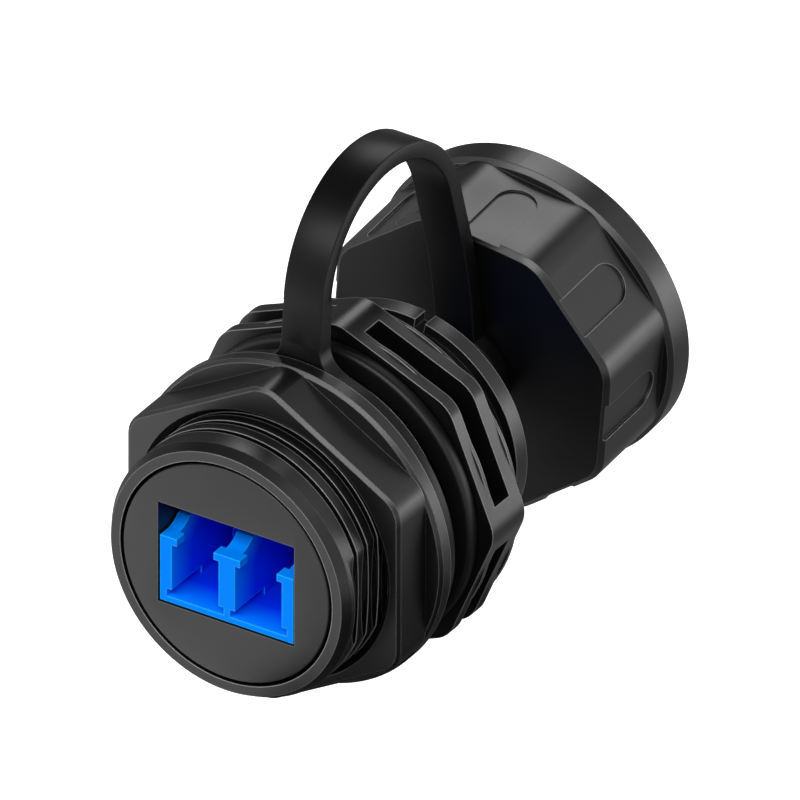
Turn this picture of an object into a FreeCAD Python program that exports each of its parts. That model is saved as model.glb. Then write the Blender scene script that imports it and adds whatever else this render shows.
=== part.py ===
import FreeCAD, Part
import math
import os

# Sealed fibre optic panel coupler: threaded shell, panel nut, duplex adapter and a tethered dust cap.
# Millimetres. +Y runs along the connector from the nut end to the cap end and +Z is up. The origin
# is on the axis, at the panel side of the octagonal flange. Angles turn from +X towards +Z.

# Threaded barrel on the nut side
thread_r = 11.95            # over the thread's crests
barrel_len = 16.8           # end face to flange
barrel_wall = 1.45
end_chamfer = 0.53
end_chamfer_len = 0.9
flat_depth = 0.8            # keying flats, cut into both sides of the thread
flat_start = 1.3            # behind the rounded end
web_t = 2.5                 # wall inside the shell that the adapter seats on

# Octagonal flange with its long slots
flange_width = 2.75         # from the thread out to a flat
flange_len = 4.85
flange_corner_r = 3.0
slot_start = 1.25           # from the panel side
slot_w = 2.25
slot_depth = 2.2
slot_land = 16.0            # degrees between two slots
lip_step = 0.16             # round lips stand this far over the flats
front_lip_t = 0.35
rear_lip_t = 0.3

# Mating barrel with its bayonet ring
mating_step = 1.25          # under the thread's crests
mating_len = 6.45
mating_wall = 1.4
bayonet_step = 0.9
bayonet_t = 1.6
notch_count = 3
notch_first = 80.0          # degrees
notch_width = 5.0           # degrees

# Panel gasket and the free thread where the panel goes
gasket_width = 2.35
gasket_t = 1.4
panel_space = 2.55
thread_play = 0.15          # radial, nut and gasket round the thread

# Panel nut
nut_wall = 1.57             # from the thread out to a flat
nut_hex_len = 4.05
nut_corner_r = 2.8
nut_edge = 0.3              # chamfers
nut_flange_width = 3.2
nut_flange_t = 1.45
nut_chamfer = 0.5

# Tether: ring, strap and eyelet
ring_width = 2.55
ring_t = 1.5
ring_play = 0.2             # between the ring and the nut
ring_bore_play = 0.35
strap_w = 3.85
strap_t = 1.6
strap_top_z = 29.25         # centre line at the top of the loop
strap_near_bend_r = 9.7
strap_far_bend_r = 10.65
strap_near_lean = 3.6       # degrees off vertical
strap_far_lean = 16.0
strap_far_run = 6.4         # straight stretch after the far bend
strap_settle_r = 45.0       # slow bend down to the face of the cap
strap_foot_r = 2.5
eyelet_r = 4.3
eyelet_play = 0.3
eyelet_gap = 0.25           # to the face of the cap

# Dust cap, taken off and held by the tether
cap_centre_z = 1.06         # where the strap meets the button
cap_tilt = 4.8              # degrees, open end up
cap_turn = 15.0             # degrees, first corner of the grip
cap_end_wall = 2.0
cap_recess = 2.32           # room behind the sealing ledge
cap_ledge_width = 2.3
cap_wall = 1.65
cap_play = 0.3
grip_corner_r = 4.0
grip_edge = 0.45
rim_step = 1.05             # rim over the grip's flats
rim_len = 3.1
rim_edge = 0.4
pad_w = 3.7
pad_len = 7.5
pad_depth = 0.22
lug_t = 1.2
lug_side_play = 1.5         # degrees, in a notch
lug_lock_play = 0.3
button_neck_r = 2.2
button_head_r = 3.4
button_head_t = 1.2
button_edge = 0.5
button_gap = 0.2
cap_gasket_t = 1.0
cap_gasket_play = 0.1

# Duplex adapter
port_pitch = 6.25
port_w = 4.65
port_h = 5.1                # floor to the catch rails
side_wall = 1.15
floor_t = 0.55
floor_groove = 0.5          # the port widens at its floor
floor_groove_h = 0.7
rail_h = 0.7
rail_overhang = 0.5
rail_len = 4.6
shelf_len = 1.0
catch_len = 1.2             # the rails overhang the port this far in
ramp_run = 1.8
ramp_rise = 0.75
latch_h = 2.5
ceiling_t = 0.6
back_wall = 1.3
adapter_flange_step = 0.9
adapter_flange_t = 1.2
adapter_gasket_t = 0.8
adapter_play = 0.15         # round the adapter in its windows
adapter_recess = 0.1        # behind the plug's face
insert_play = 0.2

# Alignment sleeves and their holders
ferrule_z_over_floor = 2.33
sleeve_bore_r = 0.635
sleeve_wall = 0.18
sleeve_len = 6.8
sleeve_slit = 0.3
sleeve_play = 0.1
holder_wall = 0.65
holder_lip_t = 0.5
ferrule_play = 0.16

# Margin by which cutting solids pass the faces they open
cut_over = 1.0

# Radii and stations that follow from the driving sizes
bore_r = thread_r - barrel_wall
insert_r = bore_r - insert_play
flange_apothem = thread_r + flange_width
lip_r = flange_apothem + lip_step
mating_r = thread_r - mating_step
mating_start = flange_len + rear_lip_t
mating_end = mating_start + mating_len
mating_bore_r = mating_r - mating_wall
bayonet_r = mating_r + bayonet_step
end_face_y = -barrel_len

ring_back_y = -gasket_t - panel_space
ring_front_y = ring_back_y - ring_t
ring_mid_y = (ring_front_y + ring_back_y) / 2
ring_bore_r = thread_r + ring_bore_play
ring_r = thread_r + ring_width
nut_back_y = ring_front_y - ring_play
nut_step_y = nut_back_y - nut_flange_t
nut_front_y = nut_step_y - nut_hex_len
nut_bore_r = thread_r + thread_play

adapter_w = port_pitch + port_w + 2 * side_wall
adapter_h = floor_t + port_h + rail_h + latch_h + ceiling_t
window_w = adapter_w + 2 * adapter_play
window_h = adapter_h + 2 * adapter_play
flange_w = adapter_w + 2 * adapter_flange_step
flange_h = adapter_h + 2 * adapter_flange_step
adapter_mid_y = -web_t - adapter_gasket_t - adapter_flange_t
adapter_front_y = end_face_y + adapter_recess
insert_back_y = adapter_mid_y - adapter_flange_t
port_back_y = adapter_mid_y - back_wall
floor_z = floor_t - adapter_h / 2
rail_z = floor_z + port_h
shelf_z = rail_z + rail_h
ceiling_z = adapter_h / 2 - ceiling_t
ferrule_z = floor_z + ferrule_z_over_floor
sleeve_r = sleeve_bore_r + sleeve_wall
port_centres = {"left": -port_pitch / 2, "right": port_pitch / 2}

cap_cavity_r = bayonet_r + cap_play
cap_ledge_r = cap_cavity_r - cap_ledge_width
cap_ledge_y = cap_end_wall + cap_recess
cap_len = cap_ledge_y + cap_gasket_t + mating_len
grip_apothem = cap_cavity_r + cap_wall
rim_r = grip_apothem + rim_step
eyelet_back_y = -eyelet_gap
eyelet_front_y = eyelet_back_y - strap_t
button_seat_y = eyelet_front_y - button_gap


def vec(x, y, z):
    return FreeCAD.Vector(x, y, z)


origin = vec(0, 0, 0)
along = vec(0, 1, 0)
turn_axis = vec(0, -1, 0)   # positive turns run from +X towards +Z


def disc(radius, y0, y1, x=0.0, z=0.0):
    return Part.makeCylinder(radius, y1 - y0, vec(x, y0, z), along)


def ring(outer_r, inner_r, y0, y1, x=0.0, z=0.0):
    return disc(outer_r, y0, y1, x, z).cut(disc(inner_r, y0 - cut_over, y1 + cut_over, x, z))


def block(width, y0, y1, z0, z1, x=0.0):
    return Part.makeBox(width, y1 - y0, z1 - z0, vec(x - width / 2, y0, z0))


def sector(inner_r, outer_r, y0, y1, start, sweep):
    # piece of a ring between two angles
    corners = [vec(inner_r, y0, 0), vec(outer_r, y0, 0), vec(outer_r, y1, 0), vec(inner_r, y1, 0)]
    face = Part.Face(Part.makePolygon(corners + corners[:1]))
    face.rotate(origin, turn_axis, start)
    return face.revolve(origin, turn_axis, sweep)


def turned(points):
    # solid of revolution from an outline of (radius, y) points
    outline = [vec(radius, y, 0) for radius, y in points]
    return Part.Face(Part.makePolygon(outline + outline[:1])).revolve(origin, along, 360)


def prism(sides, apothem, corner_r, first_corner, y0, y1):
    # regular polygon with rounded corners, extruded along Y
    radius = apothem / math.cos(math.pi / sides)
    corners = []
    for i in range(sides):
        angle = math.radians(first_corner + 360.0 * i / sides)
        corners.append(vec(radius * math.cos(angle), y0, radius * math.sin(angle)))
    solid = Part.Face(Part.makePolygon(corners + corners[:1])).extrude(vec(0, y1 - y0, 0))
    long_edges = [edge for edge in solid.Edges if abs(edge.tangentAt(edge.FirstParameter).y) > 0.9]
    return solid.makeFillet(corner_r, long_edges)


def edges_at(solid, y):
    # edges that lie in the plane at y
    found = []
    for edge in solid.Edges:
        box = edge.BoundBox
        if abs(box.YMin - y) + abs(box.YMax - y) < 1e-4:
            found.append(edge)
    return found


def make_shell():
    barrel = turned([
        (0, end_face_y),
        (thread_r - end_chamfer, end_face_y),
        (thread_r, end_face_y + end_chamfer_len),
        (thread_r, 0),
        (0, 0),
    ])
    flat_x = thread_r - flat_depth
    for side in (-1, 1):
        centre_x = side * (flat_x + thread_r / 2)
        barrel = barrel.cut(block(thread_r, end_face_y + flat_start, 0, -thread_r, thread_r, centre_x))
    shell = barrel.fuse(prism(8, flange_apothem, flange_corner_r, 90.0, 0, flange_len))
    shell = shell.fuse(disc(lip_r, slot_start - front_lip_t, slot_start))
    shell = shell.fuse(disc(lip_r, flange_len, mating_start))
    shell = shell.fuse(disc(mating_r, mating_start, mating_end))
    shell = shell.fuse(disc(bayonet_r, mating_end - bayonet_t, mating_end))
    slot_sweep = 90.0 - slot_land
    slot_floor_r = flange_apothem - slot_depth
    slot_out_r = flange_apothem + flange_width
    slot_end = slot_start + slot_w
    for i in range(4):
        start = slot_land / 2 + 90.0 * i
        shell = shell.cut(sector(slot_floor_r, slot_out_r, slot_start, slot_end, start, slot_sweep))
    for i in range(notch_count):
        start = notch_first - notch_width / 2 + 360.0 * i / notch_count
        y0 = mating_end - bayonet_t
        notch = sector(mating_r, bayonet_r + cut_over, y0, mating_end + cut_over, start, notch_width)
        shell = shell.cut(notch)
    shell = shell.cut(disc(bore_r, end_face_y - cut_over, -web_t))
    shell = shell.cut(block(window_w, -web_t - cut_over, cut_over, -window_h / 2, window_h / 2))
    shell = shell.cut(disc(mating_bore_r, 0, mating_end + cut_over))
    return shell.removeSplitter()


def make_panel_nut():
    hexagon = prism(6, thread_r + nut_wall, nut_corner_r, 90.0, nut_front_y, nut_step_y)
    hexagon = hexagon.makeChamfer(nut_edge, edges_at(hexagon, nut_front_y))
    washer = disc(thread_r + nut_flange_width, nut_step_y, nut_back_y)
    washer = washer.makeChamfer(nut_edge, edges_at(washer, nut_step_y))
    nut = hexagon.fuse(washer).cut(disc(nut_bore_r, nut_front_y - cut_over, nut_back_y + cut_over))
    mouth_r = nut_bore_r + nut_chamfer
    return nut.cut(Part.makeCone(mouth_r, nut_bore_r, nut_chamfer, vec(0, nut_front_y, 0), along))


def make_panel_gasket():
    return ring(thread_r + gasket_width, thread_r + thread_play, -gasket_t, 0)


def make_insert_plug():
    plug = disc(insert_r, end_face_y, insert_back_y)
    return plug.cut(block(window_w, end_face_y - cut_over, cut_over, -window_h / 2, window_h / 2))


def make_adapter_gasket():
    seat = -web_t
    sheet = block(flange_w, seat - adapter_gasket_t, seat, -flange_h / 2, flange_h / 2)
    return sheet.cut(block(window_w, seat - web_t, seat + web_t, -window_h / 2, window_h / 2))


def scoop_cut():
    # open space over the catch rails: flat shelf, curved ramp, then level back to the full section
    bend_r = (ramp_run ** 2 + ramp_rise ** 2) / (2 * ramp_rise)
    half_turn = math.asin(ramp_run / bend_r) / 2
    x = -adapter_w / 2 - cut_over
    shelf_end = vec(x, adapter_front_y + shelf_len, shelf_z)
    on_ramp = shelf_end + vec(0, bend_r * math.sin(half_turn), bend_r * (1 - math.cos(half_turn)))
    ramp_end = shelf_end + vec(0, ramp_run, ramp_rise)
    back_y = adapter_front_y + rail_len
    top_z = adapter_h / 2 + cut_over
    straight = [
        ramp_end,
        vec(x, back_y, ramp_end.z),
        vec(x, back_y, top_z),
        vec(x, adapter_front_y - cut_over, top_z),
        vec(x, adapter_front_y - cut_over, shelf_z),
        shelf_end,
    ]
    ramp = Part.Arc(shelf_end, on_ramp, ramp_end).toShape()
    outline = Part.Wire([ramp] + Part.makePolygon(straight).Edges)
    return Part.Face(outline).extrude(vec(adapter_w + 2 * cut_over, 0, 0))


def make_adapter_near():
    half = block(adapter_w, adapter_front_y, adapter_mid_y, -adapter_h / 2, adapter_h / 2)
    half = half.fuse(block(flange_w, insert_back_y, adapter_mid_y, -flange_h / 2, flange_h / 2))
    half = half.cut(scoop_cut())
    open_y = adapter_front_y - cut_over
    catch_end_y = adapter_front_y + catch_len
    rail_end_y = adapter_front_y + rail_len
    ramp_top_z = shelf_z + ramp_rise + cut_over
    groove_w = port_w + 2 * floor_groove
    latch_w = port_w - 2 * rail_overhang
    holder_front_y = adapter_mid_y - sleeve_len / 2 - sleeve_play - holder_lip_t
    holder_bore_r = sleeve_r + sleeve_play
    for x in port_centres.values():
        half = half.cut(block(port_w, open_y, port_back_y, floor_z, rail_z, x))
        half = half.cut(block(groove_w, open_y, rail_end_y, floor_z, floor_z + floor_groove_h, x))
        half = half.cut(block(latch_w, open_y, catch_end_y, rail_z, ramp_top_z, x))
        half = half.cut(block(port_w, catch_end_y, rail_end_y, rail_z, ramp_top_z, x))
        half = half.cut(block(port_w, rail_end_y, port_back_y, rail_z, ceiling_z, x))
        half = half.fuse(disc(holder_bore_r + holder_wall, holder_front_y, port_back_y, x, ferrule_z))
        seat_y = holder_front_y + holder_lip_t
        half = half.cut(disc(holder_bore_r, seat_y, adapter_mid_y + cut_over, x, ferrule_z))
        half = half.cut(disc(sleeve_bore_r + ferrule_play, holder_front_y - cut_over, seat_y, x, ferrule_z))
    return half.removeSplitter()


def make_sleeve(x):
    y0 = adapter_mid_y - sleeve_len / 2
    y1 = adapter_mid_y + sleeve_len / 2
    sleeve = ring(sleeve_r, sleeve_bore_r, y0, y1, x, ferrule_z)
    slit_top_z = ferrule_z + 2 * sleeve_r
    return sleeve.cut(block(sleeve_slit, y0 - cut_over, y1 + cut_over, ferrule_z, slit_top_z, x))


def polar(centre, radius, degrees):
    # point in the strap's plane, angle from +Y towards +Z
    angle = math.radians(degrees)
    return centre + vec(0, radius * math.cos(angle), radius * math.sin(angle))


def strap_stations():
    # the strap's bend centres and ends, all on its centre line
    foot_z = (ring_r + ring_bore_r) / 2
    near_lean = math.radians(strap_near_lean)
    near_z = strap_top_z - strap_near_bend_r
    near_rise = near_z + strap_near_bend_r * math.sin(near_lean) - foot_z
    top_y = ring_mid_y + near_rise * math.tan(near_lean) + strap_near_bend_r * math.cos(near_lean)
    far = vec(0, top_y, strap_top_z - strap_far_bend_r)
    run_end = polar(polar(far, strap_far_bend_r, strap_far_lean), strap_far_run, strap_far_lean - 90.0)
    settle = polar(run_end, -strap_settle_r, strap_far_lean)
    settle_end = polar(settle, strap_settle_r, cap_tilt)
    drop = settle_end.z - cap_centre_z
    return {
        "foot": vec(0, ring_mid_y, foot_z),
        "near": vec(0, top_y, near_z),
        "far": far,
        "settle": settle,
        "end": settle_end + vec(0, drop * math.tan(math.radians(cap_tilt)), -drop),
    }


def strap_side(offset):
    # one face of the strap from its foot to its end, as edges, at a distance from the centre line
    at = strap_stations()
    near_angle = 180.0 - strap_near_lean
    bends = [
        ("near", strap_near_bend_r + offset, near_angle, 90.0),
        ("far", strap_far_bend_r + offset, 90.0, strap_far_lean),
        ("settle", strap_settle_r + offset, strap_far_lean, cap_tilt),
    ]
    foot = polar(at["foot"], offset, near_angle)
    end = polar(at["end"], offset, cap_tilt)
    edges = []
    last = foot
    for name, radius, first, second in bends:
        bend_start = polar(at[name], radius, first)
        bend_mid = polar(at[name], radius, (first + second) / 2)
        bend_end = polar(at[name], radius, second)
        if name != "far":
            edges.append(Part.LineSegment(last, bend_start).toShape())
        edges.append(Part.Arc(bend_start, bend_mid, bend_end).toShape())
        last = bend_end
    edges.append(Part.LineSegment(last, end).toShape())
    return edges, foot, end


def make_strap_foot():
    # widening where the strap leaves the ring, with a round hollow on each side
    hollow_x = strap_w / 2 + strap_foot_r
    hollow_z = math.sqrt((ring_r + strap_foot_r) ** 2 - hollow_x ** 2)
    touch = ring_r / (ring_r + strap_foot_r)
    at = strap_stations()["foot"]
    width = 2 * hollow_x * touch
    foot = Part.makeBox(width, strap_t, hollow_z - at.z, vec(-width / 2, at.y - strap_t / 2, at.z))
    foot.rotate(at, vec(1, 0, 0), -strap_near_lean)
    y0 = ring_front_y - cut_over
    y1 = ring_back_y + cut_over
    for side in (-1, 1):
        foot = foot.cut(disc(strap_foot_r, y0, y1, side * hollow_x, hollow_z))
    return foot.cut(disc(ring_bore_r, y0, y1))


def on_cap(solid):
    # from the cap's own frame, closed face at y = 0, to where the strap holds it
    solid.rotate(origin, vec(1, 0, 0), cap_tilt)
    tilt = math.radians(cap_tilt)
    eyelet_mid_y = (eyelet_front_y + eyelet_back_y) / 2
    solid.translate(strap_stations()["end"] - vec(0, math.cos(tilt), math.sin(tilt)) * eyelet_mid_y)
    return solid


def make_tether():
    outer_edges, outer_foot, outer_end = strap_side(strap_t / 2)
    inner_edges, inner_foot, inner_end = strap_side(-strap_t / 2)
    end_edge = Part.LineSegment(outer_end, inner_end).toShape()
    foot_edge = Part.LineSegment(inner_foot, outer_foot).toShape()
    outline = Part.Wire(Part.__sortEdges__(outer_edges + [end_edge] + inner_edges + [foot_edge]))
    strap = Part.Face(outline).extrude(vec(strap_w, 0, 0))
    strap.translate(vec(-strap_w / 2, 0, 0))
    tether = ring(ring_r, ring_bore_r, ring_front_y, ring_back_y).fuse(strap).fuse(make_strap_foot())
    tether = tether.fuse(on_cap(disc(eyelet_r, eyelet_front_y, eyelet_back_y)))
    hole_r = button_neck_r + eyelet_play
    tether = tether.cut(on_cap(disc(hole_r, eyelet_front_y - strap_t, eyelet_back_y + strap_t)))
    head_room = disc(button_head_r + eyelet_play, eyelet_front_y - 2 * strap_t, eyelet_front_y)
    return tether.cut(on_cap(head_room)).removeSplitter()


def thumb_pad(angle):
    # shallow recess in one flat of the grip, open at the closed end, round at the other
    floor_x = grip_apothem - pad_depth
    round_y = pad_len - pad_w / 2
    pad = Part.makeBox(rim_step, round_y + cut_over, pad_w, vec(floor_x, -cut_over, -pad_w / 2))
    pad = pad.fuse(Part.makeCylinder(pad_w / 2, rim_step, vec(floor_x, round_y, 0), vec(1, 0, 0)))
    pad.rotate(origin, turn_axis, angle)
    return pad


def make_dust_cap():
    grip = prism(8, grip_apothem, grip_corner_r, cap_turn, 0, cap_len - rim_len / 2)
    grip = grip.makeChamfer(grip_edge, edges_at(grip, 0))
    rim = disc(rim_r, cap_len - rim_len, cap_len)
    rim = rim.makeChamfer(rim_edge, edges_at(rim, cap_len) + edges_at(rim, cap_len - rim_len))
    head_y = button_seat_y - button_head_t
    head = disc(button_head_r, head_y, button_seat_y)
    head = head.makeChamfer(button_edge, edges_at(head, head_y))
    cap = grip.fuse(rim).fuse(disc(button_neck_r, button_seat_y, cap_end_wall)).fuse(head)
    for i in range(8):
        cap = cap.cut(thumb_pad(cap_turn + 45.0 * (i + 0.5)))
    cap = cap.cut(disc(cap_cavity_r, cap_ledge_y, cap_len + cut_over))
    cap = cap.cut(disc(cap_ledge_r, cap_end_wall, cap_len + cut_over))
    lug_back_y = cap_len - (mating_len - bayonet_t - lug_lock_play)
    lug_width = notch_width - lug_side_play
    for i in range(notch_count):
        start = notch_first - lug_width / 2 + 360.0 * i / notch_count
        wall_mid_r = cap_cavity_r + cap_wall / 2
        lug = sector(mating_r + cap_play, wall_mid_r, lug_back_y, lug_back_y + lug_t, start, lug_width)
        cap = cap.fuse(lug)
    return on_cap(cap.removeSplitter())


def make_cap_gasket():
    outer_r = cap_cavity_r - cap_gasket_play
    inner_r = cap_ledge_r + cap_gasket_play
    return on_cap(ring(outer_r, inner_r, cap_ledge_y, cap_ledge_y + cap_gasket_t))


adapter_near = make_adapter_near()
parts = {
    "shell": make_shell(),
    "panel_nut": make_panel_nut(),
    "panel_gasket": make_panel_gasket(),
    "insert_plug": make_insert_plug(),
    "adapter_near": adapter_near,
    "adapter_far": adapter_near.mirror(vec(0, adapter_mid_y, 0), along),
    "adapter_gasket": make_adapter_gasket(),
    "tether": make_tether(),
    "dust_cap": make_dust_cap(),
    "cap_gasket": make_cap_gasket(),
}
for side, x in port_centres.items():
    parts["sleeve_" + side] = make_sleeve(x)

os.makedirs("parts", exist_ok=True)
for name, shape in parts.items():
    shape.exportStep("parts/" + name + ".step")
    print(name, "solids", len(shape.Solids), "volume %.2f" % shape.Volume, "valid", shape.isValid())
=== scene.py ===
import bpy
import bmesh
import math
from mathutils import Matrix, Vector


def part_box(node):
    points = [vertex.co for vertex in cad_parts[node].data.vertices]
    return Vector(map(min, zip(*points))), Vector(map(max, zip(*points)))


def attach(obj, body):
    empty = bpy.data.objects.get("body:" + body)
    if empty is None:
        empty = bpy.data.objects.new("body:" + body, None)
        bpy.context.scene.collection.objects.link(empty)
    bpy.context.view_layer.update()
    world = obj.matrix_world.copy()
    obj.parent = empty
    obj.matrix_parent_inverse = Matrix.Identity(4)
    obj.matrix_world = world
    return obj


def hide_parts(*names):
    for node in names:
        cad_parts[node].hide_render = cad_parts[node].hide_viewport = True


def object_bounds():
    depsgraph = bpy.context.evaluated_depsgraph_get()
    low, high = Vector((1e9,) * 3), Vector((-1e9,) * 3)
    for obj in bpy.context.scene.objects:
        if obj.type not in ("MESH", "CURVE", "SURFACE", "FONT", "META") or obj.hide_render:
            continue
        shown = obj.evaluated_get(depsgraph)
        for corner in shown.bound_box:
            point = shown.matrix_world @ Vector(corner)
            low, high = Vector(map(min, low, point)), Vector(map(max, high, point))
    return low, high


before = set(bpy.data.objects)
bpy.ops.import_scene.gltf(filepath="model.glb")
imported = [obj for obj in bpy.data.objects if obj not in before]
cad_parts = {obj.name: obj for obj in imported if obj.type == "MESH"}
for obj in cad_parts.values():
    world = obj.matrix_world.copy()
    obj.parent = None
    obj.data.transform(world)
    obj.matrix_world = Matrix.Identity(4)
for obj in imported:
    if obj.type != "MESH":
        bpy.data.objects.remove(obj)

mm = 0.001
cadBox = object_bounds()
scene = bpy.context.scene
scene.view_settings.view_transform = "Standard"
print("frame loaded, nodes:", len(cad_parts))


# small helpers for node trees

def addNode(tree, kind, inputs=None, **settings):
    node = tree.nodes.new(kind)
    for name, value in settings.items():
        setattr(node, name, value)
    for name, value in (inputs or {}).items():
        node.inputs[name].default_value = value
    return node


def join(tree, source, target):
    tree.links.new(source, target)


# camera: the picture has no vanishing point, so the view is parallel

viewSizes = {
    "turn": 32.73,                          # degrees round from the nut's end
    "lift": 31.99,                          # degrees over level
    "width": 66.67 * mm,                    # what the frame takes in
    "aim": (8.041 * mm, -2.493 * mm, 12.306 * mm),
    "distance": 260 * mm,
    "clip": (0.001, 20),
}


def makeCamera(sizes):
    turn = math.radians(sizes["turn"])
    lift = math.radians(sizes["lift"])
    back = Vector((math.sin(turn) * math.cos(lift), -math.cos(turn) * math.cos(lift), math.sin(lift)))
    data = bpy.data.cameras.new("photoCamera")
    data.type = "ORTHO"
    data.ortho_scale = sizes["width"]
    data.clip_start, data.clip_end = sizes["clip"]
    camera = bpy.data.objects.new("photoCamera", data)
    camera.location = Vector(sizes["aim"]) + back * sizes["distance"]
    camera.rotation_euler = back.to_track_quat("Z", "Y").to_euler()
    scene.collection.objects.link(camera)
    scene.camera = camera


makeCamera(viewSizes)
print("camera set")


# light: a wide soft key over the nut's end, two soft boxes behind, and cards for what the gloss sees

lampSizes = {
    "key": {"from": (0.02, -0.72, 0.69), "reach": 300 * mm,
            "size": (400 * mm, 100 * mm), "power": 0.92},
    "sideRim": {"from": (0.69, 0.71, 0.02), "reach": 260 * mm,
                "size": (120 * mm, 60 * mm), "power": 0.10},
    "topRim": {"from": (-0.24, 0.70, 0.67), "reach": 260 * mm,
               "size": (140 * mm, 110 * mm), "power": 0.22},
}
cardSizes = {                               # a drop is how far the card lies under the part
    "overCard": {"from": (-0.25, 0.20, 0.95), "reach": 420 * mm,
                 "size": (760 * mm, 760 * mm), "tone": 0.03},
    "sideCard": {"from": (-0.72, 0.69, 0.20), "reach": 170 * mm,
                 "size": (330 * mm, 130 * mm), "tone": 0.16},
    "backCard": {"at": (-41 * mm, 77 * mm), "drop": 0.06 * mm,
                 "size": (178 * mm, 186 * mm), "tone": 0.30},
    "rightCard": {"at": (31 * mm, -8 * mm), "drop": 0.03 * mm,
                  "size": (62 * mm, 41 * mm), "tone": 0.06},
    "frontCard": {"at": (38 * mm, -44 * mm), "drop": 0.03 * mm,
                  "size": (52 * mm, 31 * mm), "tone": 0.06},
    "sheenCard": {"at": (100 * mm, 82 * mm), "drop": 0.03 * mm,
                  "size": (70 * mm, 60 * mm), "tone": 2.7},
}
cardDarkBase = (0.004, 0.004, 0.004, 1)
roomSizes = {
    "ambient": 0.40,                        # what the room gives to matt surfaces
    "floorGlow": 0.80,                      # share of the floor's white that no shadow can take
    "floorColour": (0.86, 0.86, 0.87, 1),
    "floorBounce": (0.40, 0.40, 0.40, 1),   # what the floor throws back on the part
    "floorRoughness": 0.95,
    "floorHalf": 3.0,
    "floorZ": -31.0 * mm,                   # clear of the strap when it is turned under the barrel
}


def makeLamps(lamps):
    centre = (cadBox[0] + cadBox[1]) / 2
    for name, lamp in lamps.items():
        data = bpy.data.lights.new(name, "AREA")
        data.shape = "RECTANGLE"
        data.size, data.size_y = lamp["size"]
        data.energy = lamp["power"]
        box = bpy.data.objects.new(name, data)
        away = Vector(lamp["from"]).normalized()
        box.location = centre + away * lamp["reach"]
        box.rotation_euler = away.to_track_quat("Z", "Y").to_euler()
        scene.collection.objects.link(box)


def makeCards(cards):
    # cards that only gloss can see, painted reflections: the dark ones paint dark reflections that keep
    # black plastic black, the bright one paints a sheen on its corners
    centre = (cadBox[0] + cadBox[1]) / 2
    for name, card in cards.items():
        finish = bpy.data.materials.new(name)
        finish.use_nodes = True
        cardSkin = finish.node_tree.nodes["Principled BSDF"]
        cardSkin.inputs["Base Color"].default_value = cardDarkBase
        cardSkin.inputs["Roughness"].default_value = 1.0
        cardSkin.inputs["Specular IOR Level"].default_value = 0.0
        cardSkin.inputs["Emission Color"].default_value = (1, 1, 1, 1)
        cardSkin.inputs["Emission Strength"].default_value = card["tone"]
        if "from" in card:
            away = Vector(card["from"]).normalized()
            middle = centre + away * card["reach"]
        else:
            away = Vector((0, 0, 1))
            middle = Vector((*card["at"], cadBox[0].z - card["drop"]))
        turn = away.to_track_quat("Z", "Y").to_matrix()
        wide = turn @ Vector((card["size"][0] / 2, 0, 0))
        high = turn @ Vector((0, card["size"][1] / 2, 0))
        mesh = bpy.data.meshes.new(name)
        near, far = middle - high, middle + high
        corners = [near - wide, near + wide, far + wide, far - wide]
        mesh.from_pydata(corners, [], [(0, 1, 2, 3)])
        mesh.materials.append(finish)
        sheet = bpy.data.objects.new(name, mesh)
        sheet.visible_camera = False
        sheet.visible_diffuse = False
        sheet.visible_transmission = False
        sheet.visible_shadow = False
        scene.collection.objects.link(sheet)


def seenDirectly(tree):
    # 1 for the rays that should find plain white, from the eye, a gloss or a clear piece
    path = addNode(tree, "ShaderNodeLightPath")
    first = addNode(tree, "ShaderNodeMath", operation="MAXIMUM")
    second = addNode(tree, "ShaderNodeMath", operation="MAXIMUM")
    join(tree, path.outputs["Is Camera Ray"], first.inputs[0])
    join(tree, path.outputs["Is Glossy Ray"], first.inputs[1])
    join(tree, first.outputs[0], second.inputs[0])
    join(tree, path.outputs["Is Transmission Ray"], second.inputs[1])
    return second.outputs[0]


def makeRoom(sizes):
    world = bpy.data.worlds.new("studioRoom")
    scene.world = world
    world.use_nodes = True
    tree = world.node_tree
    sky = tree.nodes["Background"]
    sky.inputs["Color"].default_value = (1, 1, 1, 1)
    level = addNode(tree, "ShaderNodeMapRange")
    level.inputs["To Min"].default_value = sizes["ambient"]
    level.inputs["To Max"].default_value = 1.0
    join(tree, seenDirectly(tree), level.inputs["Value"])
    join(tree, level.outputs[0], sky.inputs["Strength"])

    half = sizes["floorHalf"]
    low = sizes["floorZ"]
    mesh = bpy.data.meshes.new("studioFloor")
    corners = [(-half, -half, low), (half, -half, low), (half, half, low), (-half, half, low)]
    mesh.from_pydata(corners, [], [(0, 1, 2, 3)])
    floor = bpy.data.objects.new("studioFloor", mesh)
    scene.collection.objects.link(floor)

    finish = bpy.data.materials.new("floorPaper")
    finish.use_nodes = True
    tree = finish.node_tree
    paper = tree.nodes["Principled BSDF"]
    paper.inputs["Roughness"].default_value = sizes["floorRoughness"]
    paper.inputs["Specular IOR Level"].default_value = 0.0
    paper.inputs["Emission Color"].default_value = (1, 1, 1, 1)
    direct = seenDirectly(tree)
    tone = addNode(tree, "ShaderNodeMix", data_type="RGBA")
    tone.inputs["A"].default_value = sizes["floorBounce"]
    tone.inputs["B"].default_value = sizes["floorColour"]
    join(tree, direct, tone.inputs["Factor"])
    join(tree, tone.outputs["Result"], paper.inputs["Base Color"])
    glow = addNode(tree, "ShaderNodeMath", operation="MULTIPLY")
    glow.inputs[1].default_value = sizes["floorGlow"]
    join(tree, direct, glow.inputs[0])
    join(tree, glow.outputs[0], paper.inputs["Emission Strength"])
    mesh.materials.append(finish)


makeLamps(lampSizes)
makeCards(cardSizes)
makeRoom(roomSizes)
print("light and floor set")


# shared shader effects

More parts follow.
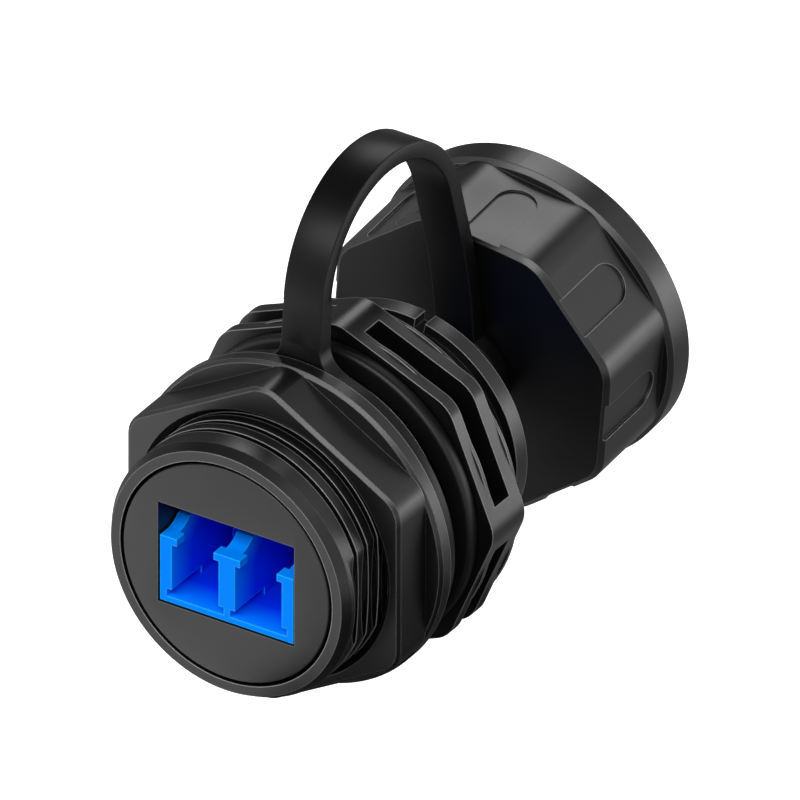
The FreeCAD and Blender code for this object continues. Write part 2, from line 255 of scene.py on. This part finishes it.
def groupTree(name, inputs, outputs):
    tree = bpy.data.node_groups.new(name, "ShaderNodeTree")
    for label, kind, value in inputs:
        socket = tree.interface.new_socket(label, in_out="INPUT", socket_type=kind)
        if value is not None:
            socket.default_value = value
    for label, kind in outputs:
        tree.interface.new_socket(label, in_out="OUTPUT", socket_type=kind)
    return tree, addNode(tree, "NodeGroupInput"), addNode(tree, "NodeGroupOutput")


grainSizes = {
    "grainScale": 9000.0,
    "driftScale": 130.0,
    "pipDetail": 2.0,
    "pipRoughness": 0.55,
    "driftDetail": 3.0,
    "driftRoughness": 0.5,
    "driftRange": (0.3, 0.7),               # the part of the drift that turns into gloss
    "speckScale": 900.0,
    "speckRim": 0.10,                       # a speck fades from its core to its rim, in cells
    "speckCore": 0.04,
    "speckRare": 0.86,                      # share of the cells without a speck
    "bumpHeight": 0.02 * mm,
}


def makeGrainGroup(sizes):
    # moulded grain: fine pips, a slow drift in gloss and a few specks of dust
    tree, given, result = groupTree(
        "mouldedGrain",
        [
            ("Vector", "NodeSocketVector", None),
            ("Grain Scale", "NodeSocketFloat", sizes["grainScale"]),
            ("Drift Scale", "NodeSocketFloat", sizes["driftScale"]),
            ("Dust", "NodeSocketFloat", 0.5),
        ],
        [("Height", "NodeSocketFloat"), ("Drift", "NodeSocketFloat"), ("Dust", "NodeSocketFloat")],
    )
    pips = addNode(tree, "ShaderNodeTexNoise",
                   {"Detail": sizes["pipDetail"], "Roughness": sizes["pipRoughness"]})
    drift = addNode(tree, "ShaderNodeTexNoise",
                    {"Detail": sizes["driftDetail"], "Roughness": sizes["driftRoughness"]})
    specks = addNode(tree, "ShaderNodeTexVoronoi", {"Scale": sizes["speckScale"]})
    for node in (pips, drift, specks):
        join(tree, given.outputs["Vector"], node.inputs["Vector"])
    join(tree, given.outputs["Grain Scale"], pips.inputs["Scale"])
    join(tree, given.outputs["Drift Scale"], drift.inputs["Scale"])
    near = addNode(tree, "ShaderNodeMapRange",
                   {"From Min": sizes["speckRim"], "From Max": sizes["speckCore"]})
    join(tree, specks.outputs["Distance"], near.inputs["Value"])
    rare = addNode(tree, "ShaderNodeMath", operation="GREATER_THAN")
    rare.inputs[1].default_value = sizes["speckRare"]
    pick = addNode(tree, "ShaderNodeSeparateColor")
    join(tree, specks.outputs["Color"], pick.inputs["Color"])
    join(tree, pick.outputs["Red"], rare.inputs[0])
    dust = addNode(tree, "ShaderNodeMath", operation="MULTIPLY")
    join(tree, near.outputs[0], dust.inputs[0])
    join(tree, rare.outputs[0], dust.inputs[1])
    amount = addNode(tree, "ShaderNodeMath", operation="MULTIPLY")
    join(tree, dust.outputs[0], amount.inputs[0])
    join(tree, given.outputs["Dust"], amount.inputs[1])
    join(tree, pips.outputs["Fac"], result.inputs["Height"])
    join(tree, drift.outputs["Fac"], result.inputs["Drift"])
    join(tree, amount.outputs[0], result.inputs["Dust"])
    return tree


edgeSizes = {
    "round": 0.12 * mm,
    # width of the outer-edge mask, along which the finishes paint a highlight
    "highlightBand": 0.12 * mm,
    "samples": 6,
    "maskFrom": 0.95,                       # share of a look back into the piece that stays inside it
    "maskTo": 0.60,
}


def makeEdgeGroup(sizes):
    # small rounds on every edge, and a mask of the outer ones, where a look inwards soon leaves the piece;
    # the finishes paint a lighter highlight colour along that mask
    tree, given, result = groupTree(
        "roundedEdges",
        [("Radius", "NodeSocketFloat", sizes["round"]), ("Highlight Band Width", "NodeSocketFloat", sizes["highlightBand"])],
        [("Normal", "NodeSocketVector"), ("Edge", "NodeSocketFloat")],
    )
    rounds = addNode(tree, "ShaderNodeBevel", samples=sizes["samples"])
    join(tree, given.outputs["Radius"], rounds.inputs["Radius"])
    inward = addNode(tree, "ShaderNodeAmbientOcclusion",
                     samples=sizes["samples"], inside=True, only_local=True)
    join(tree, given.outputs["Highlight Band Width"], inward.inputs["Distance"])
    edge = addNode(tree, "ShaderNodeMapRange",
                   {"From Min": sizes["maskFrom"], "From Max": sizes["maskTo"]})
    join(tree, inward.outputs["AO"], edge.inputs["Value"])
    join(tree, rounds.outputs["Normal"], result.inputs["Normal"])
    join(tree, edge.outputs[0], result.inputs["Edge"])
    return tree


grainGroup = makeGrainGroup(grainSizes)
edgeGroup = makeEdgeGroup(edgeSizes)
print("shader groups made")


# finishes

# each finish's edge colour is a painted highlight along the outer edges; the dust specks take that colour
# too
finishSizes = {
    "shellPlastic": {
        "body": (0.0022, 0.0022, 0.0025, 1), "edge": (0.24, 0.24, 0.247, 1),
        "gloss": (0.30, 0.38), "spec": 0.40, "edgeSpec": 1.0, "grain": 9000.0, "bump": 0.10, "dust": 0.04,
        "round": 0.12 * mm, "highlightBand": 0.09 * mm,
    },
    "nutPlastic": {
        "body": (0.0022, 0.0022, 0.0025, 1), "edge": (0.24, 0.24, 0.247, 1),
        "gloss": (0.30, 0.38), "spec": 0.44, "edgeSpec": 1.0, "grain": 9500.0, "bump": 0.10, "dust": 0.04,
        "round": 0.13 * mm, "highlightBand": 0.09 * mm,
    },
    "capPlastic": {
        "body": (0.0018, 0.0018, 0.0021, 1), "edge": (0.15, 0.15, 0.155, 1),
        "gloss": (0.30, 0.38), "spec": 0.50, "edgeSpec": 1.0, "grain": 8500.0, "bump": 0.10, "dust": 0.04,
        "round": 0.13 * mm, "highlightBand": 0.09 * mm,
    },
    "insertPlastic": {
        "body": (0.0025, 0.0025, 0.0028, 1), "edge": (0.04, 0.04, 0.042, 1),
        "gloss": (0.40, 0.50), "spec": 0.42, "edgeSpec": 0.8, "grain": 8000.0, "bump": 0.14, "dust": 0.10,
        "round": 0.10 * mm, "highlightBand": 0.10 * mm,
    },
    "sealRubber": {
        "body": (0.003, 0.003, 0.0035, 1), "edge": (0.08, 0.08, 0.082, 1),
        "gloss": (0.40, 0.50), "spec": 0.30, "edgeSpec": 0.4, "grain": 6000.0, "bump": 0.18, "dust": 0.10,
        "round": 0.10 * mm, "highlightBand": 0.10 * mm,
    },
    "tetherRubber": {
        "body": (0.003, 0.003, 0.0035, 1), "edge": (0.02, 0.02, 0.021, 1),
        "gloss": (0.30, 0.40), "spec": 0.13, "edgeSpec": 0.2, "grain": 6500.0, "bump": 0.16, "dust": 0.10,
        "round": 0.10 * mm, "highlightBand": 0.10 * mm,
    },
    "adapterPlastic": {
        "body": (0.0, 0.235, 1.0, 1), "edge": (0.0, 0.42, 1.0, 1),
        "gloss": (0.36, 0.46), "spec": 0.04, "edgeSpec": 0.3, "grain": 9000.0, "bump": 0.06, "dust": 0.0,
        "round": 0.12 * mm, "highlightBand": 0.12 * mm,
        # painted shade: a deeper blue is painted low inside the ports, away from the mouth
        "paintedShadeBlue": (0.0, 0.034, 0.88, 1), "middleY": -4.5 * mm, "mouth": 12.2 * mm, "fade": 3.2 * mm,
    },
    "sleeveCeramic": {
        "body": (0.80, 0.78, 0.72, 1), "edge": (0.86, 0.85, 0.80, 1),
        "gloss": (0.14, 0.22), "spec": 0.60, "edgeSpec": 0.6, "grain": 12000.0, "bump": 0.02, "dust": 0.0,
        "round": 0.04 * mm, "highlightBand": 0.04 * mm,
    },
}


def paintedPortShade(tree, place, sizes):
    # painted shade: the blue is painted deeper low inside and away from the mouth, and lighter towards the
    # mouth and towards the top
    split = addNode(tree, "ShaderNodeSeparateXYZ")
    join(tree, place.outputs["Object"], split.inputs["Vector"])
    offset = addNode(tree, "ShaderNodeMath", operation="SUBTRACT")
    offset.inputs[1].default_value = sizes["middleY"]
    join(tree, split.outputs["Y"], offset.inputs[0])
    reach = addNode(tree, "ShaderNodeMath", operation="ABSOLUTE")
    join(tree, offset.outputs[0], reach.inputs[0])
    height = addNode(tree, "ShaderNodeMath", operation="MAXIMUM")
    height.inputs[1].default_value = 0.0
    join(tree, split.outputs["Z"], height.inputs[0])
    lit = addNode(tree, "ShaderNodeMath", operation="ADD")
    join(tree, reach.outputs[0], lit.inputs[0])
    join(tree, height.outputs[0], lit.inputs[1])
    share = addNode(tree, "ShaderNodeMapRange")
    share.inputs["From Min"].default_value = sizes["mouth"] - sizes["fade"]
    share.inputs["From Max"].default_value = sizes["mouth"]
    join(tree, lit.outputs[0], share.inputs["Value"])
    tone = addNode(tree, "ShaderNodeMix", data_type="RGBA")
    tone.inputs["A"].default_value = sizes["paintedShadeBlue"]
    tone.inputs["B"].default_value = sizes["body"]
    join(tree, share.outputs[0], tone.inputs["Factor"])
    return tone.outputs["Result"]


def makeFinish(name, sizes):
    finish = bpy.data.materials.new(name)
    finish.use_nodes = True
    tree = finish.node_tree
    skin = tree.nodes["Principled BSDF"]
    place = addNode(tree, "ShaderNodeTexCoord")
    grain = addNode(tree, "ShaderNodeGroup", node_tree=grainGroup)
    grain.inputs["Grain Scale"].default_value = sizes["grain"]
    grain.inputs["Dust"].default_value = sizes["dust"]
    join(tree, place.outputs["Object"], grain.inputs["Vector"])
    edges = addNode(tree, "ShaderNodeGroup", node_tree=edgeGroup)
    edges.inputs["Radius"].default_value = sizes["round"]
    edges.inputs["Highlight Band Width"].default_value = sizes["highlightBand"]

    # painted highlight: the outer edges are painted in the lighter edge colour
    tone = addNode(tree, "ShaderNodeMix", data_type="RGBA")
    tone.inputs["A"].default_value = sizes["body"]
    tone.inputs["B"].default_value = sizes["edge"]
    # painted shade inside the ports, for the adapter's blue
    if "paintedShadeBlue" in sizes:
        join(tree, paintedPortShade(tree, place, sizes), tone.inputs["A"])
    join(tree, edges.outputs["Edge"], tone.inputs["Factor"])
    shine = addNode(tree, "ShaderNodeMapRange")
    shine.inputs["To Min"].default_value = sizes["spec"]
    shine.inputs["To Max"].default_value = sizes["edgeSpec"]
    join(tree, edges.outputs["Edge"], shine.inputs["Value"])
    join(tree, shine.outputs[0], skin.inputs["Specular IOR Level"])
    dusty = addNode(tree, "ShaderNodeMix", data_type="RGBA")
    dusty.inputs["B"].default_value = sizes["edge"]
    join(tree, grain.outputs["Dust"], dusty.inputs["Factor"])
    join(tree, tone.outputs["Result"], dusty.inputs["A"])
    join(tree, dusty.outputs["Result"], skin.inputs["Base Color"])

    gloss = addNode(tree, "ShaderNodeMapRange")
    gloss.inputs["From Min"].default_value, gloss.inputs["From Max"].default_value = grainSizes["driftRange"]
    gloss.inputs["To Min"].default_value, gloss.inputs["To Max"].default_value = sizes["gloss"]
    join(tree, grain.outputs["Drift"], gloss.inputs["Value"])
    join(tree, gloss.outputs[0], skin.inputs["Roughness"])

    bump = addNode(tree, "ShaderNodeBump",
                   {"Strength": sizes["bump"], "Distance": grainSizes["bumpHeight"]})
    join(tree, grain.outputs["Height"], bump.inputs["Height"])
    join(tree, edges.outputs["Normal"], bump.inputs["Normal"])
    join(tree, bump.outputs["Normal"], skin.inputs["Normal"])
    return finish


finishes = {name: makeFinish(name, sizes) for name, sizes in finishSizes.items()}
print("finishes made:", len(finishes))


# pieces made from the solids: welded, smooth on the round faces and sharp on the edges

weldSizes = {
    "join": 0.0005 * mm,
    "flat": 0.3,                            # degrees, under which two faces count as one
}


def weldedCopy(node, name):
    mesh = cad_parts[node].data.copy()
    mesh.name = name
    for layer in ("custom_normal", "sharp_edge", "sharp_face"):
        mesh.attributes.remove(mesh.attributes[layer])
    work = bmesh.new()
    work.from_mesh(mesh)
    bmesh.ops.remove_doubles(work, verts=work.verts, dist=weldSizes["join"])
    bmesh.ops.dissolve_limit(work, angle_limit=math.radians(weldSizes["flat"]),
                             verts=work.verts, edges=work.edges)
    work.to_mesh(mesh)
    work.free()
    mesh.materials.clear()
    piece = bpy.data.objects.new(name, mesh)
    scene.collection.objects.link(piece)
    return piece


def shadeByAngle(piece, degrees):
    mesh = piece.data
    mesh.shade_smooth()
    mesh.set_sharp_from_angle(angle=math.radians(degrees))


def standFor(piece, node, body):
    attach(piece, body)
    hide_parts(node)


# thread: one groove wound round the barrel and cut out of it

threadSizes = {
    "crestRadius": 11.95 * mm,
    "pitch": 1.56 * mm,
    "depth": 0.95 * mm,
    "crestFlat": 0.60 * mm,
    "rootFlat": 0.30 * mm,
    "overCut": 0.30 * mm,                   # the cutter stands out of the barrel by this
    "startY": -0.70 * mm,                   # under the gasket
    "startTurn": -103.0,                    # degrees from +X towards +Z
    "turns": 9.05,                          # ends low on the far side, short of the end's chamfer
    "stepsPerTurn": 96,
    "sharp": 28,                            # degrees, over which an edge is shaded sharp
}


def makeThreadTree():
    tree = bpy.data.node_groups.new("cutThread", "GeometryNodeTree")
    for label, kind in (
        ("Barrel", "NodeSocketGeometry"),
        ("Steps per Turn", "NodeSocketInt"),
        ("Turns", "NodeSocketFloat"),
        ("Path Radius", "NodeSocketFloat"),
        ("Path Length", "NodeSocketFloat"),
        ("Cut Depth", "NodeSocketFloat"),
        ("Root Width", "NodeSocketFloat"),
        ("Mouth Width", "NodeSocketFloat"),
        ("Start Turn", "NodeSocketFloat"),
        ("Start Place", "NodeSocketVector"),
        ("Finish", "NodeSocketMaterial"),
    ):
        tree.interface.new_socket(label, in_out="INPUT", socket_type=kind)
    tree.interface.new_socket("Barrel", in_out="OUTPUT", socket_type="NodeSocketGeometry")
    given = addNode(tree, "NodeGroupInput")
    result = addNode(tree, "NodeGroupOutput")
    spiral = addNode(tree, "GeometryNodeCurveSpiral")
    join(tree, given.outputs["Steps per Turn"], spiral.inputs["Resolution"])
    join(tree, given.outputs["Turns"], spiral.inputs["Rotations"])
    join(tree, given.outputs["Path Radius"], spiral.inputs["Start Radius"])
    join(tree, given.outputs["Path Radius"], spiral.inputs["End Radius"])
    join(tree, given.outputs["Path Length"], spiral.inputs["Height"])
    upright = addNode(tree, "GeometryNodeSetCurveNormal", mode="Z_UP")
    join(tree, spiral.outputs["Curve"], upright.inputs["Curve"])
    profile = addNode(tree, "GeometryNodeCurvePrimitiveQuadrilateral", mode="TRAPEZOID")
    profile.inputs["Offset"].default_value = 0.0
    join(tree, given.outputs["Cut Depth"], profile.inputs["Height"])
    join(tree, given.outputs["Root Width"], profile.inputs["Bottom Width"])
    join(tree, given.outputs["Mouth Width"], profile.inputs["Top Width"])
    outwards = addNode(tree, "GeometryNodeTransform")
    outwards.inputs["Rotation"].default_value = (0, 0, -math.pi / 2)
    join(tree, profile.outputs["Curve"], outwards.inputs["Geometry"])
    cutter = addNode(tree, "GeometryNodeCurveToMesh")
    cutter.inputs["Fill Caps"].default_value = True
    join(tree, upright.outputs["Curve"], cutter.inputs["Curve"])
    join(tree, outwards.outputs["Geometry"], cutter.inputs["Profile Curve"])
    spin = addNode(tree, "ShaderNodeCombineXYZ")
    join(tree, given.outputs["Start Turn"], spin.inputs["Z"])
    turned = addNode(tree, "GeometryNodeTransform")
    join(tree, cutter.outputs["Mesh"], turned.inputs["Geometry"])
    join(tree, spin.outputs["Vector"], turned.inputs["Rotation"])
    laid = addNode(tree, "GeometryNodeTransform")
    laid.inputs["Rotation"].default_value = (math.pi / 2, 0, 0)
    join(tree, turned.outputs["Geometry"], laid.inputs["Geometry"])
    join(tree, given.outputs["Start Place"], laid.inputs["Translation"])
    cut = addNode(tree, "GeometryNodeMeshBoolean", operation="DIFFERENCE", solver="EXACT")
    join(tree, given.outputs["Barrel"], cut.inputs["Mesh 1"])
    join(tree, laid.outputs["Geometry"], cut.inputs["Mesh 2"])
    real = addNode(tree, "GeometryNodeRealizeInstances")
    join(tree, cut.outputs["Mesh"], real.inputs["Geometry"])
    dressed = addNode(tree, "GeometryNodeSetMaterial")
    join(tree, real.outputs["Geometry"], dressed.inputs["Geometry"])
    join(tree, given.outputs["Finish"], dressed.inputs["Material"])
    join(tree, dressed.outputs["Geometry"], result.inputs["Barrel"])
    return tree


def runTree(piece, tree, values):
    # the tree's result becomes the piece's own plain mesh
    modifier = piece.modifiers.new("shape", "NODES")
    modifier.node_group = tree
    for item in tree.interface.items_tree:
        if item.in_out == "INPUT" and item.name in values:
            modifier[item.identifier] = values[item.name]
    bpy.context.view_layer.update()
    ready = piece.evaluated_get(bpy.context.evaluated_depsgraph_get())
    mesh = bpy.data.meshes.new_from_object(ready)
    piece.modifiers.clear()
    piece.data = mesh


def makeThreadedShell(sizes):
    shell = weldedCopy("shell", "threadedShell")
    cutDepth = sizes["depth"] + sizes["overCut"]
    mouth = sizes["pitch"] - sizes["crestFlat"]
    flank = (mouth - sizes["rootFlat"]) / sizes["depth"]
    runTree(shell, makeThreadTree(), {
        "Steps per Turn": sizes["stepsPerTurn"],
        "Turns": sizes["turns"],
        "Path Radius": sizes["crestRadius"] + sizes["overCut"] - cutDepth / 2,
        "Path Length": sizes["pitch"] * sizes["turns"],
        "Cut Depth": cutDepth,
        "Root Width": sizes["rootFlat"],
        "Mouth Width": mouth + flank * sizes["overCut"],
        "Start Turn": math.radians(sizes["startTurn"]),
        "Start Place": (0.0, sizes["startY"], 0.0),
        "Finish": finishes["shellPlastic"],
    })
    shadeByAngle(shell, sizes["sharp"])
    standFor(shell, "shell", "coupler")
    print("thread cut, faces:", len(shell.data.polygons))


makeThreadedShell(threadSizes)


# plug: its round edge meets the shell's in a dark groove

plugSizes = {
    "faceY": -16.8 * mm,
    "radius": 10.3 * mm,
    "draft": 0.10 * mm,                     # the front edge is drawn in by this, as in a mould
    "round": 0.14 * mm,
    "steps": 3,
    "slackAlong": 0.02 * mm,                # how near a point is to count as on the edge
    "slackAcross": 0.03 * mm,
    "sharp": 30,
}


def roundPlug(plug, sizes):
    def onEdge(vert):
        off = math.hypot(vert.co.x, vert.co.z) - sizes["radius"]
        return abs(vert.co.y - sizes["faceY"]) < sizes["slackAlong"] and abs(off) < sizes["slackAcross"]

    work = bmesh.new()
    work.from_mesh(plug.data)
    edges = [edge for edge in work.edges if onEdge(edge.verts[0]) and onEdge(edge.verts[1])]
    for vert in {vert for edge in edges for vert in edge.verts}:
        vert.co.x *= 1 - sizes["draft"] / sizes["radius"]
        vert.co.z *= 1 - sizes["draft"] / sizes["radius"]
    bmesh.ops.bevel(work, geom=edges, offset=sizes["round"], segments=sizes["steps"], profile=0.5,
                    affect="EDGES", clamp_overlap=False)
    work.to_mesh(plug.data)
    work.free()


def makePlug(sizes):
    plug = weldedCopy("insert_plug", "roundedPlug")
    roundPlug(plug, sizes)
    plug.data.materials.append(finishes["insertPlastic"])
    shadeByAngle(plug, sizes["sharp"])
    standFor(plug, "insert_plug", "coupler")
    print("plug rounded, faces:", len(plug.data.polygons))


makePlug(plugSizes)


# tether: moulded rubber, round on its edges

tetherSizes = {
    "round": 0.16 * mm,
    "steps": 3,
    "angle": 40,                            # flatter joints stay as they are
    "footLow": 11.0 * mm,                   # the foot's own curves leave no room for a round
    "footHigh": 19.0 * mm,
    "weld": 0.003 * mm,
    "sharp": 35,
}


def roundCorners(piece, sizes):
    def atFoot(vert):
        return vert.co.y < 0 and sizes["footLow"] < vert.co.z < sizes["footHigh"]

    def isCorner(edge):
        sharp = edge.is_convex and edge.calc_face_angle() > math.radians(sizes["angle"])
        return sharp and not any(atFoot(vert) for vert in edge.verts)

    work = bmesh.new()
    work.from_mesh(piece.data)
    edges = [edge for edge in work.edges if isCorner(edge)]
    bmesh.ops.bevel(work, geom=edges, offset=sizes["round"], segments=sizes["steps"], profile=0.5,
                    affect="EDGES", clamp_overlap=False)
    bmesh.ops.remove_doubles(work, verts=work.verts, dist=sizes["weld"])
    bmesh.ops.dissolve_degenerate(work, edges=work.edges, dist=sizes["weld"])
    bmesh.ops.triangulate(work, faces=[face for face in work.faces if len(face.verts) > 4])
    work.to_mesh(piece.data)
    work.free()


def makeTether(sizes):
    tether = weldedCopy("tether", "softTether")
    roundCorners(tether, sizes)
    tether.data.materials.append(finishes["tetherRubber"])
    shadeByAngle(tether, sizes["sharp"])
    standFor(tether, "tether", "tether")
    print("tether rounded, faces:", len(tether.data.polygons))


makeTether(tetherSizes)


# adapter seal: a flat rubber frame between the adapter and the shell's web

frameSizes = {
    "round": 0.10 * mm,
    "steps": 2,
    "angle": 40,
    "footLow": 0.0,                         # no stretch of it is left sharp
    "footHigh": 0.0,
    "weld": 0.001 * mm,
    "sharp": 35,
}


def makeAdapterSeal(sizes):
    seal = weldedCopy("adapter_gasket", "adapterSeal")
    roundCorners(seal, sizes)
    seal.data.materials.append(finishes["sealRubber"])
    shadeByAngle(seal, sizes["sharp"])
    standFor(seal, "adapter_gasket", "coupler")
    print("adapter seal rounded, faces:", len(seal.data.polygons))


makeAdapterSeal(frameSizes)


# sealing rings: a round-cornered section carried round a circle

sealSizes = {
    "panel_gasket": {"name": "panelSeal", "body": "coupler", "tilt": 0.0,
                     "inner": 12.1 * mm, "thick": 1.4 * mm, "corner": 0.45 * mm},
    "cap_gasket": {"name": "capSeal", "body": "cap", "tilt": 4.8,
                   "inner": 9.7 * mm, "thick": 1.0 * mm, "corner": 0.30 * mm},
}
sealSteps = {"ring": 128, "corner": 5, "sharp": 40}


def makeSealTree():
    tree = bpy.data.node_groups.new("sealRing", "GeometryNodeTree")
    for label, kind in (
        ("Start", "NodeSocketGeometry"),
        ("Steps", "NodeSocketInt"),
        ("Mid Radius", "NodeSocketFloat"),
        ("Width", "NodeSocketFloat"),
        ("Thickness", "NodeSocketFloat"),
        ("Corner", "NodeSocketFloat"),
        ("Corner Steps", "NodeSocketInt"),
        ("Lay", "NodeSocketVector"),
        ("Place", "NodeSocketVector"),
        ("Finish", "NodeSocketMaterial"),
    ):
        tree.interface.new_socket(label, in_out="INPUT", socket_type=kind)
    tree.interface.new_socket("Ring", in_out="OUTPUT", socket_type="NodeSocketGeometry")
    given = addNode(tree, "NodeGroupInput")
    result = addNode(tree, "NodeGroupOutput")
    path = addNode(tree, "GeometryNodeCurvePrimitiveCircle")
    join(tree, given.outputs["Steps"], path.inputs["Resolution"])
    join(tree, given.outputs["Mid Radius"], path.inputs["Radius"])
    upright = addNode(tree, "GeometryNodeSetCurveNormal", mode="Z_UP")
    join(tree, path.outputs["Curve"], upright.inputs["Curve"])
    section = addNode(tree, "GeometryNodeCurvePrimitiveQuadrilateral")
    join(tree, given.outputs["Width"], section.inputs["Width"])
    join(tree, given.outputs["Thickness"], section.inputs["Height"])
    rounded = addNode(tree, "GeometryNodeFilletCurve", mode="POLY")
    join(tree, given.outputs["Corner Steps"], rounded.inputs["Count"])
    join(tree, section.outputs["Curve"], rounded.inputs["Curve"])
    join(tree, given.outputs["Corner"], rounded.inputs["Radius"])
    swept = addNode(tree, "GeometryNodeCurveToMesh")
    join(tree, upright.outputs["Curve"], swept.inputs["Curve"])
    join(tree, rounded.outputs["Curve"], swept.inputs["Profile Curve"])
    laid = addNode(tree, "GeometryNodeTransform")
    join(tree, swept.outputs["Mesh"], laid.inputs["Geometry"])
    join(tree, given.outputs["Lay"], laid.inputs["Rotation"])
    join(tree, given.outputs["Place"], laid.inputs["Translation"])
    real = addNode(tree, "GeometryNodeRealizeInstances")
    join(tree, laid.outputs["Geometry"], real.inputs["Geometry"])
    dressed = addNode(tree, "GeometryNodeSetMaterial")
    join(tree, real.outputs["Geometry"], dressed.inputs["Geometry"])
    join(tree, given.outputs["Finish"], dressed.inputs["Material"])
    join(tree, dressed.outputs["Geometry"], result.inputs["Ring"])
    return tree


def makeSeals(seals):
    tree = makeSealTree()
    for node, sizes in seals.items():
        low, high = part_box(node)
        outer = (high.x - low.x) / 2
        seal = bpy.data.objects.new(sizes["name"], bpy.data.meshes.new(sizes["name"]))
        scene.collection.objects.link(seal)
        runTree(seal, tree, {
            "Steps": sealSteps["ring"],
            "Mid Radius": (outer + sizes["inner"]) / 2,
            "Width": outer - sizes["inner"],
            "Thickness": sizes["thick"],
            "Corner": sizes["corner"],
            "Corner Steps": sealSteps["corner"],
            "Lay": (math.radians(sizes["tilt"] - 90), 0.0, 0.0),
            "Place": tuple((low + high) / 2),
            "Finish": finishes["sealRubber"],
        })
        shadeByAngle(seal, sealSteps["sharp"])
        standFor(seal, node, sizes["body"])
        print(sizes["name"], "faces:", len(seal.data.polygons))


makeSeals(sealSizes)


# the other pieces keep their solids' shape and get their finish

dressedNodes = {
    "panel_nut": "nutPlastic",
    "dust_cap": "capPlastic",
    "adapter_near": "adapterPlastic",
    "adapter_far": "adapterPlastic",
    "sleeve_left": "sleeveCeramic",
    "sleeve_right": "sleeveCeramic",
}

for node, finish in dressedNodes.items():
    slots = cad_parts[node].data.materials
    slots.clear()
    slots.append(finishes[finish])
print("nodes dressed:", len(dressedNodes))
